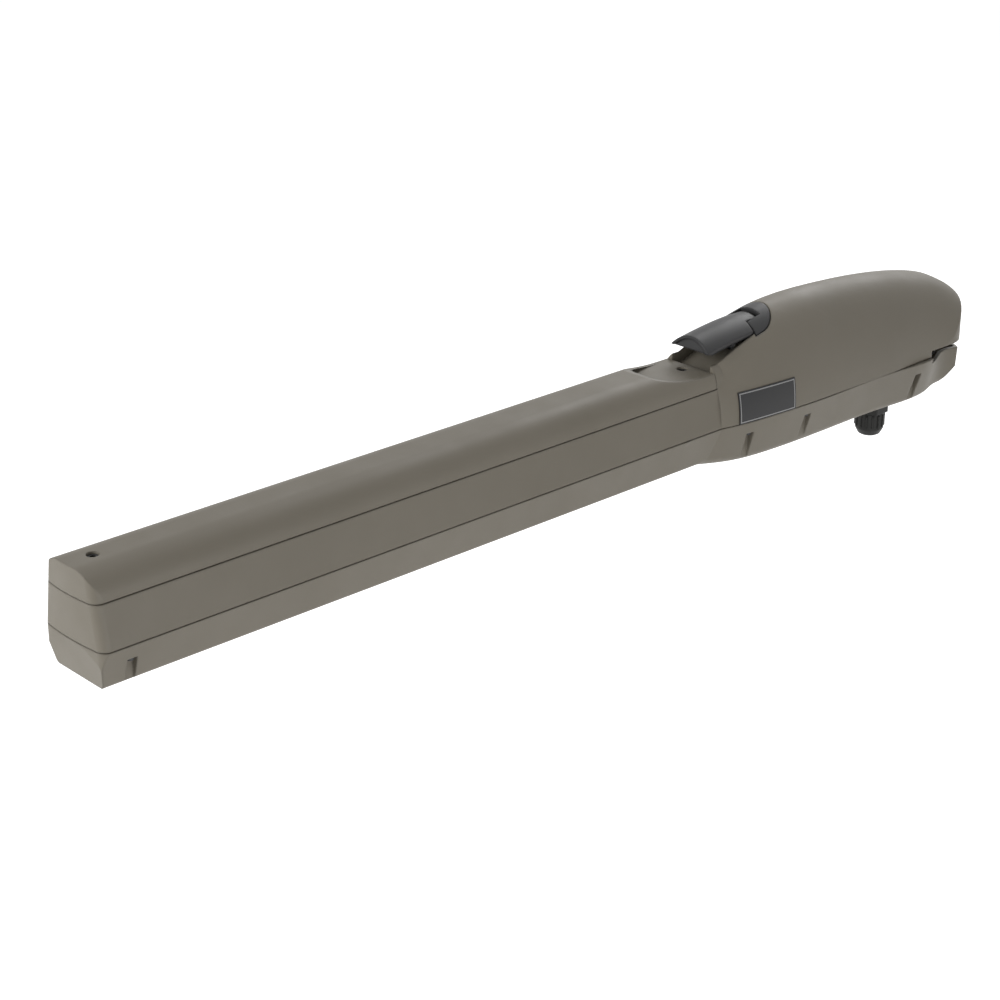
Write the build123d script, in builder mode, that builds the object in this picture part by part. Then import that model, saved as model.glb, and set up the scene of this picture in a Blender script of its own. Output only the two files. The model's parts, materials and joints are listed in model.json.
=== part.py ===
"""Swing gate opener: an enclosed lead-screw arm with its motor head.

Frame: origin on the rear pivot axis at the height of the lower joint line,
+X towards the gate end of the arm, +Y towards the side with the nameplate,
+Z up.  Millimetres.
"""
import os
from math import atan, cos, pi, radians, sin, sqrt, tan

from build123d import *

os.makedirs("parts", exist_ok=True)

# Arm, outer form
ARM_FRONT = 890.0            # front face
FRONT_SLANT = 5.2            # how far the front face falls back down to the floor
ARM_FLOOR = -29.0            # underside of the arm
ARM_FLOOR_HALF = 27.1        # half width of the underside
ARM_SEAM_HALF = 35.2         # half width at the lower joint line
ARM_CROWN = 54.0             # top of the lid
ARM_LEAN = 10.1              # inward lean of the flanks above the lower joint, degrees
SHOULDER_R = 20.0            # rounding between flank and top
BELLY_R = 3.5                # rounding along the underside
NOSE_CROWN = 2.5             # how far the front face bows forward, seen in plan
NOSE_CORNER_R = 7.5          # plan rounding of the front corners
LID_SEAM = 32.7              # height of the joint line between band and lid
WALL = 3.0                   # moulding thickness
SEAM_GAP = 0.8               # open joint between two mouldings

# Head, outer form
HEAD_FRONT = 298.0           # where the lid ends and the head flares out
HEAD_HALF = 45.8             # widest half width of the head
HEAD_CROWN = 81.8            # highest point of the head
HEAD_FLOOR = -38.5           # underside of the head
HEAD_FLOOR_HALF = 33.5       # half width of its underside
TAIL_HALF = 44.4             # half width of the tail
TAIL_FACE = -24.0            # rear face of the tail
TAIL_START = 27.0            # where the tail's rounding begins
TAIL_TOP = 46.5              # height that the crown falls to at the rear face
TAIL_RISE = 30.0             # how far the crown may climb from there to the tail's start
TAIL_FLOOR = -39.0           # underside of the tail
BELLY_CORNER_R = 7.0         # rounding along the head's underside
TAIL_CORNER_R = 30.0         # plan rounding of the tail
TAIL_TOP_R = 7.0             # rounding between crown and rear face
TAIL_BELLY_R = 33.5          # rounding between underside and rear face

# Slot round the tail for the post bracket
SLOT_FRONT = 35.0
SLOT_LOW = -5.0
SLOT_HIGH = 6.0
PIVOT_BORE_R = 6.05          # for a 12 mm pivot pin
PIN_ACCESS_R = 11.0          # hole in the belly that the pivot pin goes in through

# Lid
LID_SCREW_FRONT = 868.3
LID_SCREW_REAR = 308.2
LID_SCREW_R = 2.5
LID_SCREW_HEAD_R = 4.25
LID_SCREW_HEAD = 5.0
COUNTERBORE_R = 4.6
COUNTERBORE_DEPTH = 6.5
SCOOP_R = 160.0              # scoop at the rear end of the lid
SCOOP_X = 310.0
SCOOP_FLOOR = 44.7

# Release lever and its pocket
LEVER_PIN_X = 240.0
LEVER_PIN_Z = 66.0
LEVER_PIN_R = 2.5
PIN_HALF = 14.0
LEVER_HALF = 19.75
LEVER_TIP = 300.0            # tip when the lever is shut
LEVER_HEEL = 246.3           # shoulders of the lever when shut
LEVER_SHELL = 2.6
LEVER_LIFT = 12.0            # how far the lever stands open at rest, degrees
TONGUE_HALF = 9.8
TONGUE_END = 233.8
TONGUE_R = 6.0               # knuckle round the pin
LOBE_LENGTH = 15.0           # cam lobe that hangs below the pin
POCKET_HALF = 20.6
POCKET_FLOOR = 38.0          # pocket floor at its front end
POCKET_RISE = 0.33           # slope of the pocket floor
BASE_HALF = 21.7
BASE_GROOVE = 0.8            # groove round the hinge base
BASE_ROUND_X = 236.5         # centre of the base's round end
BASE_FRONT = 243.8
BASE_BEVEL = 2.5             # bevel on the base that the heel of the lever swings past
BASE_FLOOR = 50.0
NOTCH_REAR = 228.2
NOTCH_CLEAR = 0.7

# Drive
SCREW_Z = -6.0
SCREW_R = 8.0
SPIGOT_R = 5.0
FRONT_SPIGOT_R = 6.0
FIT = 0.05                   # radial clearance of a running fit
SEAT = 0.3                   # gap between pieces that are fastened together
GEAR_MODULE = 1.0
GEAR_TEETH = 48
PINION_TEETH = 16
PRESSURE_ANGLE = 20.0
BACKLASH = 0.12
GEAR_WIDTH = 11.0
GEAR_REAR = 206.0
PLATE_REAR = 190.0
PLATE_THICK = 10.0
HUB_R = 8.0
BEARING_R = 16.0
MOTOR_R = 29.0
MOTOR_REAR = 72.0
MOTOR_SHAFT_R = 3.0
DOG_COUNT = 4
DOG_LENGTH = 4.0
DOG_CLEAR = 0.5
DOG_INNER_R = 8.6
DOG_OUTER_R = 13.5
SLEEVE_R = 14.0
SLEEVE_GROOVE_R = 11.0
SLEEVE_FRONT = 246.0
HEX_FLAT = 14.0              # across the flats of the screw's driven end
FINGER_X = 247.0             # rear face of the fork's finger, just ahead of the lever's lobe
FINGER_THICK = 4.0
FINGER_HALF = 5.0
FINGER_TOP = 58.0
FINGER_SLOT_REAR = 232.0
FINGER_SLOT_FRONT = 258.0
FORK_RATIO = 14.5            # fork travel in millimetres per radian of the lever
FORK_THICK = 4.4
GUIDE_R = 3.0
GUIDE_Y = 14.0
GUIDE_Z = 20.0

# Rail
RAIL_HALF = 23.0
RAIL_WALL = 3.0
RAIL_FLOOR = -25.6
RAIL_TOP = 9.0
RAIL_REAR = 262.0
RAIL_FRONT = 870.0
END_WALL = 12.0
THRUST_BEARING_R = 17.5
FRONT_BEARING_R = 14.0
FRONT_BEARING_WIDTH = 8.0

# Carriage, which rests near the gate end
STROKE = 400.0
CARRIAGE_X = 800.0
CARRIAGE_LENGTH = 60.0
CARRIAGE_TOP = 10.0
NECK_LENGTH = 44.0
NECK_HALF = 10.7
NECK_BOTTOM = -37.0
NECK_CLEAR = 0.5
BRACKET_THREAD_R = 5.1       # M12 tapping size
BRACKET_THREAD_DEPTH = 16.0
NUT_R = 13.0
NUT_FLANGE_R = 16.0
NUT_FLANGE = 7.0
NUT_LENGTH = 50.0
STOP_LENGTH = 14.0
SLIDE_FIT = 0.3

# Cable entry
GLAND_X = 75.0
GLAND_Y = 12.0
GLAND_THREAD_R = 10.0        # M20
GLAND_FLAT = 27.0
GLAND_NUT_R = 12.4
GLAND_HEX = 8.0
GLAND_NUT = 21.0
CABLE_R = 5.0

# Channels up the belly's flanks, each with a casing screw at its top: distance along X, inner wall
CHANNELS = ((864.0, 25.6), (265.0, 31.2), (197.5, 35.3), (52.0, 35.1))
CHANNEL_WIDTH = 8.0
CHANNEL_TOP = -11.0
BOSS_WALL = 2.0              # wall of the moulding round a channel
CASING_SCREW_R = 2.0
CASING_HEAD_R = 2.8
CASING_HEAD = 2.0
CASING_HEAD_CLEAR = 0.3      # between a screw's head and the channel's inner wall
LUG_R = 4.0
LUG_TOP = 11.0

# Nameplate
PLATE_X = 249.5
PLATE_Z = 13.6
PLATE_LENGTH = 62.0
PLATE_HEIGHT = 26.5
PLATE_SKIN = 1.1

NOSE_REAR = HEAD_FRONT - 20.0
NEAR = 0.01                  # tiny overlap that makes two solids of one piece join
FAR = 120.0                  # reach of a cut past everything across the opener
HEAD_REACH = 400.0           # reach of a cut past the head, along the opener


def arm_sketch(inset, low, high):
    """Half-open arch of the arm's upper part between two heights, drawn on Y and Z."""
    lean = tan(radians(ARM_LEAN))
    crown = ARM_CROWN - inset
    seam = ARM_SEAM_HALF - inset
    with BuildSketch() as arch:
        with BuildLine():
            Polyline(
                (-seam, 0),
                (seam, 0),
                (seam - lean * crown, crown),
                (-(seam - lean * crown), crown),
                close=True,
            )
        make_face()
        fillet(arch.vertices().group_by(Axis.Y)[-1], SHOULDER_R - inset)
        with Locations((0, (low + high) / 2)):
            Rectangle(4 * seam, high - low, mode=Mode.INTERSECT)
    return arch.sketch


def belly_sketch(seam, floor, floor_half, corner):
    """Trapezium of the belly under the joint line, drawn on Y and Z."""
    with BuildSketch() as trapezium:
        with BuildLine():
            Polyline(
                (-seam, 0),
                (seam, 0),
                (floor_half, floor),
                (-floor_half, floor),
                close=True,
            )
        make_face()
        fillet(trapezium.vertices().group_by(Axis.Y)[0], corner)
    return trapezium.sketch


def station(x):
    """Plane across the arm whose sketch axes are the model's Y and Z."""
    return Plane(origin=(x, 0, 0), x_dir=(0, 1, 0), z_dir=(1, 0, 0))


# Stations of the dome: distance along X, how much narrower and how much lower than its widest and highest
DOME_STATIONS = (
    (HEAD_FRONT, HEAD_HALF - ARM_SEAM_HALF, 23.8),
    (276.0, 6.4, 16.3),
    (241.0, 2.8, 6.2),
    (205.0, 0.6, 0.8),
    (170.0, 0.0, 0.0),
    (130.0, 0.0, 1.8),
    (82.0, 0.4, 5.8),
    (TAIL_START, HEAD_HALF - TAIL_HALF, 14.3),
    (-30.0, HEAD_HALF - TAIL_HALF, 38.3),
)
# Stations of the belly: distance along X, narrower at the joint, floor higher, narrower at the floor
BELLY_STATIONS = (
    (350.0, 13.3, 13.0, 9.7),
    (324.0, 12.0, 9.7, 7.9),
    (HEAD_FRONT, 10.8, 5.1, 6.3),
    (276.0, 6.4, 2.3, 3.7),
    (241.0, 2.8, 0.3, 1.5),
    (205.0, 0.6, 0.0, 0.3),
    (170.0, 0.0, 0.0, 0.0),
    (82.0, 0.4, TAIL_FLOOR - HEAD_FLOOR, 0.0),
    (TAIL_START, HEAD_HALF - TAIL_HALF, TAIL_FLOOR - HEAD_FLOOR, 0.5),
    (-30.0, HEAD_HALF - TAIL_HALF, TAIL_FLOOR - HEAD_FLOOR, 0.5),
)


def tail_outline(inset):
    """Plan of the tail, wide open ahead of it so that it trims nothing else."""
    half = TAIL_HALF - inset
    rear = TAIL_FACE + inset
    with BuildSketch() as plan:
        with Locations(((rear + TAIL_START) / 2, 0)):
            Rectangle(TAIL_START - rear, 2 * half)
        fillet(plan.vertices().group_by(Axis.X)[0], TAIL_CORNER_R - inset)
        with Locations((TAIL_START + HEAD_REACH / 2, 0)):
            Rectangle(HEAD_REACH, 3 * half)
    return plan.sketch


def tail_side(inset):
    """Side view of the tail: rounded to the crown above and to the floor below."""
    rear = TAIL_FACE + inset
    top = TAIL_TOP - inset
    floor = TAIL_FLOOR + inset
    with BuildSketch() as side:
        with BuildLine():
            Polyline(
                (rear, floor),
                (HEAD_REACH, floor),
                (HEAD_REACH, FAR),
                (60.0, FAR),
                (TAIL_START, top + TAIL_RISE),
                (rear, top),
                close=True,
            )
        make_face()
        fillet(side.vertices().group_by(Axis.X)[0].sort_by(Axis.Y)[0], TAIL_BELLY_R - inset)
        fillet(side.vertices().group_by(Axis.X)[0].sort_by(Axis.Y)[-1], TAIL_TOP_R - inset)
    return side.sketch


def nose_sketch(half, inset):
    """Plan of the arm between its flanks: a bowed front face with rounded corners."""
    corner = ARM_FRONT - NOSE_CROWN - inset
    with BuildSketch() as plan:
        with BuildLine():
            bow = ThreePointArc((corner, -half), (ARM_FRONT - inset, 0), (corner, half))
            Polyline(bow @ 1, (NOSE_REAR, half), (NOSE_REAR, -half), bow @ 0)
        make_face()
        fillet(plan.vertices().group_by(Axis.X)[-1], NOSE_CORNER_R - inset)
    return plan.sketch


def nose_solid(inset):
    """Arm above the joint line, between flanks that lean in towards the top."""
    with BuildPart() as nose:
        for z in (0.0, ARM_CROWN):
            with BuildSketch(Plane.XY.offset(z)):
                add(nose_sketch(ARM_SEAM_HALF - tan(radians(ARM_LEAN)) * z - inset, inset))
        loft(ruled=True)
    return nose.part


def head_dome(inset):
    """Upper half of the head, moved in by inset."""
    with BuildPart() as dome:
        for x, narrower, lower in DOME_STATIONS:
            half = HEAD_HALF - narrower - inset
            crown = HEAD_CROWN - lower - inset
            with BuildSketch(station(x)):
                with BuildLine():
                    arch = EllipticalCenterArc((0, 0), half, crown, start_angle=0, arc_size=180)
                    Line(arch @ 1, arch @ 0)
                make_face()
        loft()
        with BuildSketch(Plane.XY.offset(-FAR)):
            add(tail_outline(inset))
        extrude(amount=2 * FAR, mode=Mode.INTERSECT)
        with BuildSketch(Plane.XZ.offset(-FAR)):
            add(tail_side(inset))
        extrude(amount=2 * FAR, mode=Mode.INTERSECT)
    return dome.part


def head_belly(inset):
    """Lower half of the head, moved in by inset."""
    with BuildPart() as belly:
        for x, narrower, higher, floor_narrower in BELLY_STATIONS:
            half = HEAD_HALF - narrower - inset
            floor = HEAD_FLOOR + higher + inset
            floor_half = HEAD_FLOOR_HALF - floor_narrower - inset
            with BuildSketch(station(x)):
                add(belly_sketch(half, floor, floor_half, BELLY_CORNER_R - inset))
        loft()
        with BuildSketch(Plane.XY.offset(-FAR)):
            add(tail_outline(inset))
        extrude(amount=2 * FAR, mode=Mode.INTERSECT)
        with BuildSketch(Plane.XZ.offset(-FAR)):
            add(tail_side(inset))
        extrude(amount=2 * FAR, mode=Mode.INTERSECT)
    return belly.part


def slab(x_low, x_high, half, z_low, z_high, y=0.0):
    """Plain block between two stations, centred on y."""
    block = Box(x_high - x_low, 2 * half, z_high - z_low, mode=Mode.PRIVATE)
    return Pos((x_low + x_high) / 2, y, (z_low + z_high) / 2) * block


def bar(radius, x_low, x_high, z=SCREW_Z, y=0.0):
    """Round bar along X."""
    rod = Cylinder(radius, x_high - x_low, mode=Mode.PRIVATE)
    return Pos((x_low + x_high) / 2, y, z) * Rot(0, 90, 0) * rod


def post(radius, z_low, z_high, x, y=0.0):
    """Round bar along Z."""
    return Pos(x, y, (z_low + z_high) / 2) * Cylinder(radius, z_high - z_low, mode=Mode.PRIVATE)


def cross_pin(radius, half, x, z):
    """Round bar along Y, symmetric about the centre plane."""
    return Pos(x, 0, z) * Rot(90, 0, 0) * Cylinder(radius, 2 * half, mode=Mode.PRIVATE)


def save(node, label):
    """Name a finished piece and write it out."""
    node.part.label = label
    export_step(node.part, f"parts/{label}.step")


def round_end_sketch(half, x_centre, x_front):
    """Plan of the hinge base: straight sides with a round rear end."""
    with BuildSketch() as plan:
        with Locations(((x_centre + x_front) / 2, 0)):
            Rectangle(x_front - x_centre, 2 * half)
        with Locations((x_centre, 0)):
            Circle(half)
        with Locations((x_front - 2 * half, 0)):
            Rectangle(4 * half, 2 * half, mode=Mode.INTERSECT)
    return plan.sketch


def gear_sketch(teeth, bore):
    """Involute spur gear, drawn with one tooth centred on the first axis."""
    pitch_r = GEAR_MODULE * teeth / 2
    base_r = pitch_r * cos(radians(PRESSURE_ANGLE))
    tip_r = pitch_r + 0.95 * GEAR_MODULE
    root_r = pitch_r - 1.2 * GEAR_MODULE
    pressure = radians(PRESSURE_ANGLE)
    half_pitch = pi / (2 * teeth) - BACKLASH / (2 * pitch_r) + tan(pressure) - pressure
    start_r = max(base_r, root_r)
    flank = []
    for step in range(4):
        radius = start_r + (tip_r - start_r) * step / 3
        roll = sqrt(max((radius / base_r) ** 2 - 1, 0))
        flank.append((radius, half_pitch - (roll - atan(roll))))
    flank.insert(0, (root_r, flank[0][1] + 0.01))
    points = []
    for tooth in range(teeth):
        middle = 2 * pi * tooth / teeth
        for radius, half_angle in flank:
            points.append((radius * cos(middle - half_angle), radius * sin(middle - half_angle)))
        for radius, half_angle in reversed(flank):
            points.append((radius * cos(middle + half_angle), radius * sin(middle + half_angle)))
    with BuildSketch() as gear:
        with BuildLine():
            Polyline(*points, close=True)
        make_face()
        Circle(bore, mode=Mode.SUBTRACT)
    return gear.sketch


GAP = SEAM_GAP / 2
SLOT_REAR_END = CARRIAGE_X - STROKE - NECK_LENGTH / 2 - 4.0
SLOT_FRONT_END = CARRIAGE_X + NECK_LENGTH / 2 + 4.0
MOTOR_Z = SCREW_Z + GEAR_MODULE * (GEAR_TEETH + PINION_TEETH) / 2
BELLY_OUTER = head_belly(0)
BELLY_INNER = head_belly(WALL)
DOME_OUTER = head_dome(0)
DOME_INNER = head_dome(WALL)
GLAND_POST = post(GLAND_THREAD_R + 0.2, -60, -20, GLAND_X, GLAND_Y)


# Channels for the casing screws, and the blocks of the moulding that they are sunk in
with BuildPart() as channels:
    for x, inner in CHANNELS:
        for side in (-1, 1):
            middle = side * (inner + HEAD_HALF / 2)
            add(slab(x - CHANNEL_WIDTH / 2, x + CHANNEL_WIDTH / 2, HEAD_HALF / 2, -FAR, CHANNEL_TOP, middle))
with BuildPart() as bosses:
    boss_half = CHANNEL_WIDTH / 2 + BOSS_WALL
    for x, inner in CHANNELS:
        for side in (-1, 1):
            middle = side * (inner - BOSS_WALL + HEAD_HALF / 2)
            add(slab(x - boss_half, x + boss_half, HEAD_HALF / 2, -FAR, 0, middle))
CASING_SCREWS = [(x, side * (inner + CASING_HEAD_CLEAR + CASING_HEAD_R)) for x, inner in CHANNELS for side in (-1, 1)]

# Lower casing
with BuildPart() as belly_form:
    with BuildSketch(station(HEAD_FRONT - 5.0)):
        add(belly_sketch(ARM_SEAM_HALF, ARM_FLOOR, ARM_FLOOR_HALF, BELLY_R))
    extrude(amount=ARM_FRONT - HEAD_FRONT + 5.0)
    front_cut = Plane(origin=(ARM_FRONT, 0, 0), x_dir=(0, 1, 0), z_dir=(-ARM_FLOOR, 0, -FRONT_SLANT))
    split(bisect_by=front_cut, keep=Keep.BOTTOM)
    with BuildSketch(Plane.XY.offset(ARM_FLOOR - 1.0)):
        add(nose_sketch(ARM_SEAM_HALF, 0))
    extrude(amount=2.0 - ARM_FLOOR, mode=Mode.INTERSECT)
    add(BELLY_OUTER)

with BuildPart() as lower_casing:
    add(belly_form.part)
    with BuildSketch(station(HEAD_FRONT - 5.0)):
        add(belly_sketch(ARM_SEAM_HALF - WALL, ARM_FLOOR + WALL, ARM_FLOOR_HALF - WALL, 1.0))
    extrude(amount=ARM_FRONT - NOSE_CROWN - FRONT_SLANT - WALL - HEAD_FRONT + 5.0, mode=Mode.SUBTRACT)
    add(BELLY_INNER, mode=Mode.SUBTRACT)
    add(bosses.part & belly_form.part)
    add(channels.part, mode=Mode.SUBTRACT)
    for x, y in CASING_SCREWS:
        add(post(CASING_SCREW_R + 0.2, -FAR, 5, x, y), mode=Mode.SUBTRACT)
    add(slab(-60, 950, 80, -GAP, 20), mode=Mode.SUBTRACT)
    add(slab(-60, SLOT_FRONT, 80, SLOT_LOW, 20), mode=Mode.SUBTRACT)
    add(slab(SLOT_REAR_END, SLOT_FRONT_END, NECK_HALF + NECK_CLEAR, -60, -20), mode=Mode.SUBTRACT)
    add(post(PIN_ACCESS_R, -60, -20, 0), mode=Mode.SUBTRACT)
    add(GLAND_POST, mode=Mode.SUBTRACT)
save(lower_casing, "lower_casing")

# Arm's upper shell, parted below into the casing's band and the lid
with BuildPart() as arm_shell:
    with BuildSketch(station(HEAD_FRONT - 8.0)):
        add(arm_sketch(0, 0, ARM_CROWN))
    extrude(amount=ARM_FRONT - HEAD_FRONT + 8.0)
    add(nose_solid(0), mode=Mode.INTERSECT)
    with BuildSketch(station(HEAD_FRONT - 8.0)):
        add(arm_sketch(WALL, 0, ARM_CROWN - WALL))
    extrude(amount=ARM_FRONT - NOSE_CROWN - WALL - HEAD_FRONT + 8.0, mode=Mode.SUBTRACT)

# Tub under the lever: the moulding's own pocket and the seat of the hinge base
with BuildPart() as pocket:
    with BuildSketch(Plane.XZ.offset(-POCKET_HALF)):
        with BuildLine():
            rear = BASE_ROUND_X
            Polyline(
                (HEAD_FRONT + 5.0, POCKET_FLOOR),
                (HEAD_FRONT - 3.0, POCKET_FLOOR),
                (BASE_FRONT + 2.0, POCKET_FLOOR + POCKET_RISE * (HEAD_FRONT - BASE_FRONT - 2.0)),
                (BASE_FRONT + 2.0, BASE_FLOOR),
                (rear, BASE_FLOOR),
                (rear, 100.0),
                (HEAD_FRONT + 5.0, 100.0),
                close=True,
            )
        make_face()
    extrude(amount=2 * POCKET_HALF)
    with BuildSketch(Plane.XY.offset(BASE_FLOOR)):
        add(round_end_sketch(BASE_HALF + BASE_GROOVE, BASE_ROUND_X, BASE_FRONT + 2.0))
    extrude(amount=50.0)

with BuildPart() as tub:
    with BuildSketch(Plane.XY.offset(POCKET_FLOOR - WALL)):
        add(round_end_sketch(BASE_HALF + BASE_GROOVE + WALL, BASE_ROUND_X, HEAD_FRONT))
    extrude(amount=60.0)
    with BuildSketch(Plane.XZ.offset(-40.0)):
        with BuildLine():
            Polyline(
                (HEAD_FRONT + 1.0, POCKET_FLOOR - WALL),
                (BASE_FRONT + 2.0 + WALL, BASE_FLOOR - WALL),
                (150.0, BASE_FLOOR - WALL),
                (150.0, 120.0),
                (HEAD_FRONT + 1.0, 120.0),
                close=True,
            )
        make_face()
    extrude(amount=80.0, mode=Mode.INTERSECT)
    add(DOME_OUTER, mode=Mode.INTERSECT)

# Upper casing
with BuildPart() as upper_casing:
    add(DOME_OUTER)
    add(DOME_INNER, mode=Mode.SUBTRACT)
    with BuildSketch(station(HEAD_FRONT - 8.0)):
        add(arm_sketch(WALL, 0, POCKET_FLOOR - WALL))
    extrude(amount=12.0, mode=Mode.SUBTRACT)
    add(tub.part)
    add(arm_shell.part)
    add(slab(HEAD_FRONT, ARM_FRONT + 20, 60, LID_SEAM - GAP, 80), mode=Mode.SUBTRACT)
    add(pocket.part, mode=Mode.SUBTRACT)
    add(slab(FINGER_SLOT_REAR, FINGER_SLOT_FRONT, FINGER_HALF + 1.5, 30, 60), mode=Mode.SUBTRACT)
    for x, y in CASING_SCREWS:
        add(post(LUG_R, 0, LUG_TOP, x, y))
        add(post(CASING_SCREW_R, -5, LUG_TOP - 2.0, x, y), mode=Mode.SUBTRACT)
    add(slab(-60, 950, 80, -20, GAP), mode=Mode.SUBTRACT)
    add(slab(-60, SLOT_FRONT, 80, -20, SLOT_HIGH), mode=Mode.SUBTRACT)
save(upper_casing, "upper_casing")

# Lid
LID_SCREWS = (LID_SCREW_FRONT, LID_SCREW_REAR)
LID_SEATS = (ARM_CROWN, SCOOP_FLOOR)
with BuildPart() as top_lid:
    add(arm_shell.part)
    for x, seat in zip(LID_SCREWS, LID_SEATS):
        add(post(COUNTERBORE_R + 2.5, LID_SEAM, seat, x))
    add(slab(HEAD_FRONT, 360.0, 24.0, SCOOP_FLOOR - WALL - 2.0, SCOOP_FLOOR))
    add(slab(HEAD_FRONT - 20, HEAD_FRONT + GAP, 60, -1, 80), mode=Mode.SUBTRACT)
    add(cross_pin(SCOOP_R, 60, SCOOP_X, SCOOP_FLOOR + SCOOP_R), mode=Mode.SUBTRACT)
    add(slab(HEAD_FRONT, SCOOP_X, 60, SCOOP_FLOOR, 90), mode=Mode.SUBTRACT)
    add(slab(HEAD_FRONT - 20, ARM_FRONT + 20, 60, -1, LID_SEAM + GAP), mode=Mode.SUBTRACT)
    for x, seat in zip(LID_SCREWS, LID_SEATS):
        add(post(COUNTERBORE_R, seat - COUNTERBORE_DEPTH, 80, x), mode=Mode.SUBTRACT)
        add(post(LID_SCREW_R + 0.3, 0, 80, x), mode=Mode.SUBTRACT)
save(top_lid, "top_lid")

# Screws of the lid, and the lugs in the band that they bite into
with BuildPart() as lid_screws:
    for x, seat in zip(LID_SCREWS, LID_SEATS):
        top = seat - COUNTERBORE_DEPTH + LID_SCREW_HEAD
        add(post(LID_SCREW_HEAD_R, seat - COUNTERBORE_DEPTH, top, x))
        add(post(LID_SCREW_R, RAIL_TOP + 6.0, top, x))
        with BuildSketch(Plane.XY.offset(top)):
            with Locations((x, 0)):
                RegularPolygon(2.3, 6)
        extrude(amount=-2.6, mode=Mode.SUBTRACT)
save(lid_screws, "lid_screws")

# Release lever, cut from the head's own form and then swung to its resting angle
LEVER_AXIS = Axis((LEVER_PIN_X, 0, LEVER_PIN_Z), (0, -1, 0))
LEVER_CORE = head_dome(1.0)
with BuildPart() as lever_shut:
    with BuildSketch(Plane.XY.offset(BASE_FLOOR - 10.0)):
        with Locations(((LEVER_TIP + LEVER_HEEL) / 2, 0)):
            Rectangle(LEVER_TIP - LEVER_HEEL, 2 * LEVER_HALF)
        with Locations(((LEVER_HEEL + TONGUE_END) / 2, 0)):
            Rectangle(LEVER_HEEL - TONGUE_END + 0.2, 2 * TONGUE_HALF)
    extrude(amount=80.0)
    add(head_dome(0.2), mode=Mode.INTERSECT)
    add(head_dome(LEVER_SHELL + 0.2), mode=Mode.SUBTRACT)
    add(slab(LEVER_TIP - 40.0, LEVER_TIP + 10.0, 40, 0, 47.0), mode=Mode.SUBTRACT)
    add(slab(LEVER_TIP - 6.0, LEVER_TIP - 4.0, LEVER_HALF, 47.0, 90.0) & LEVER_CORE)
    add(slab(LEVER_PIN_X - 4.5, LEVER_PIN_X + 5.0, TONGUE_HALF, LEVER_PIN_Z, 90.0) & LEVER_CORE)
    add(cross_pin(TONGUE_R, TONGUE_HALF, LEVER_PIN_X, LEVER_PIN_Z))
    add(slab(LEVER_PIN_X - 3.0, LEVER_PIN_X + 3.0, FINGER_HALF, LEVER_PIN_Z - LOBE_LENGTH, LEVER_PIN_Z))
    add(cross_pin(LEVER_PIN_R + FIT, 30, LEVER_PIN_X, LEVER_PIN_Z), mode=Mode.SUBTRACT)

with BuildPart() as release_lever:
    add(lever_shut.part.rotate(LEVER_AXIS, LEVER_LIFT))
save(release_lever, "release_lever")

# Hinge base and pin
DOME_AT_BASE = 76.0
with BuildPart() as release_base:
    with BuildSketch(Plane.XY.offset(BASE_FLOOR)):
        add(round_end_sketch(BASE_HALF, BASE_ROUND_X, BASE_FRONT))
    extrude(amount=50.0)
    add(head_dome(0.1), mode=Mode.INTERSECT)
    add(slab(NOTCH_REAR, BASE_FRONT + 9.0, TONGUE_HALF + NOTCH_CLEAR, 0, 90), mode=Mode.SUBTRACT)
    bevel = Box(2 * BASE_BEVEL, 60, 2 * BASE_BEVEL, mode=Mode.PRIVATE)
    add(Pos(BASE_FRONT, 0, DOME_AT_BASE) * Rot(0, 45, 0) * bevel, mode=Mode.SUBTRACT)
    add(cross_pin(LEVER_PIN_R, PIN_HALF, LEVER_PIN_X, LEVER_PIN_Z), mode=Mode.SUBTRACT)
save(release_base, "release_base")

with BuildPart() as lever_pin:
    add(cross_pin(LEVER_PIN_R, PIN_HALF, LEVER_PIN_X, LEVER_PIN_Z))
save(lever_pin, "lever_pin")

# Clutch fork: a finger up to the lever's lobe and a horseshoe round the sleeve
FORK_X = FINGER_X - 8.0
GROOVE_FIT = 0.3
with BuildPart() as clutch_fork:
    add(slab(FORK_X, FORK_X + FORK_THICK, 18.5, SCREW_Z - 2.0, GUIDE_Z + 6.0))
    add(slab(FORK_X, FINGER_X + FINGER_THICK, FINGER_HALF, GUIDE_Z, GUIDE_Z + 6.0))
    add(slab(FINGER_X, FINGER_X + FINGER_THICK, FINGER_HALF, GUIDE_Z, FINGER_TOP))
    add(bar(SLEEVE_GROOVE_R + GROOVE_FIT, FORK_X - 1, FORK_X + 6), mode=Mode.SUBTRACT)
    for side in (-1, 1):
        add(bar(GUIDE_R + FIT, FORK_X - 1, FORK_X + 6, GUIDE_Z, side * GUIDE_Y), mode=Mode.SUBTRACT)
save(clutch_fork, "clutch_fork")

with BuildPart() as fork_guides:
    for side in (-1, 1):
        add(bar(GUIDE_R, PLATE_REAR + PLATE_THICK, RAIL_REAR, GUIDE_Z, side * GUIDE_Y))
save(fork_guides, "fork_guides")

# Dog clutch: teeth on the gear's face and on the sleeve, one set between the other
DOG_REAR = GEAR_REAR + GEAR_WIDTH
FORK_REST = FORK_RATIO * radians(LEVER_LIFT)
SLEEVE_REAR = DOG_REAR + DOG_LENGTH + DOG_CLEAR + FORK_REST
DOG_ANGLE = 180.0 / DOG_COUNT - 5.0


def dogs(x_low, x_high, start):
    """Ring of clutch dogs on the screw's axis."""
    with BuildPart() as ring:
        with BuildSketch(station(x_low)):
            for turn in range(DOG_COUNT):
                angle = start + turn * 360.0 / DOG_COUNT
                with BuildLine():
                    outer = CenterArc((0, SCREW_Z), DOG_OUTER_R, angle, DOG_ANGLE)
                    inner = CenterArc((0, SCREW_Z), DOG_INNER_R, angle, DOG_ANGLE)
                    Line(outer @ 0, inner @ 0)
                    Line(outer @ 1, inner @ 1)
                make_face()
        extrude(amount=x_high - x_low)
    return ring.part


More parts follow.
